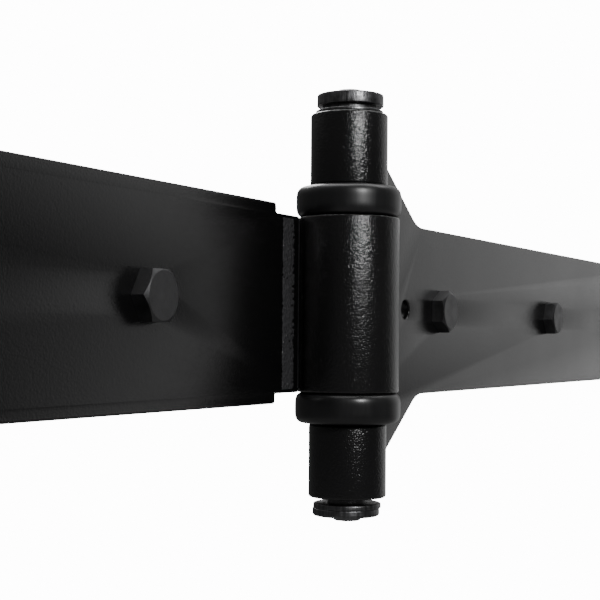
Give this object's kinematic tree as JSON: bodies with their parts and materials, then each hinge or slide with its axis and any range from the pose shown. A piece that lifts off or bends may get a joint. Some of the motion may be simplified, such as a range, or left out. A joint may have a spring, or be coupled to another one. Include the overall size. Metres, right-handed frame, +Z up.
{
  "type": "strap hinge",
  "caption": "Heavy strap hinge for a door or gate: two long straps on a welded three-knuckle barrel with a pin, bearing rings and lag screws.",
  "frame": {"origin": "on the pin's axis, halfway up the barrel", "axes": "+Z up along the pin, +X along the post strap from the barrel, +Y out of the straps' backs towards the post and door"},
  "size_m": [0.8, 0.08, 0.1416],
  "materials": {
    "black_powder_coat": "fine-textured satin black powder coat",
    "ring_plastic": "smooth semi-gloss black",
    "cap_steel": "dark blackened steel with a streaked punched rim",
    "pin_steel": "dark turned steel",
    "black_screw_steel": "satin black coated steel"
  },
  "bodies": {
    "post_leaf": {"post_strap": "black_powder_coat", "upper_knuckle": "black_powder_coat", "lower_knuckle": "black_powder_coat", "upper_knuckle_weld": "black_powder_coat", "lower_knuckle_weld": "black_powder_coat", "post_lag_screw_1": "black_screw_steel", "post_lag_screw_2": "black_screw_steel", "post_lag_screw_3": "black_screw_steel"},
    "door_leaf": {"door_strap": "black_powder_coat", "middle_knuckle": "black_powder_coat", "middle_knuckle_weld": "black_powder_coat", "upper_bearing_ring": "ring_plastic", "lower_bearing_ring": "ring_plastic", "door_lag_screw_1": "black_screw_steel", "door_lag_screw_2": "black_screw_steel", "door_lag_screw_3": "black_screw_steel"},
    "pin": {"hinge_pin": "pin_steel", "upper_washer": "cap_steel", "upper_retaining_disc": "cap_steel", "lower_washer": "cap_steel", "lower_retaining_disc": "cap_steel"}
  },
  "joints": [
    {"name": "leaf_swing", "type": "hinge", "parent": "post_leaf", "child": "door_leaf", "pos_m": [0, 0, 0], "axis": [0, 0, 1], "range_deg": [0, 180]},
    {"name": "pin_spin", "type": "hinge", "parent": "post_leaf", "child": "pin", "pos_m": [0, 0, 0], "axis": [0, 0, 1], "continuous": true}
  ]
}
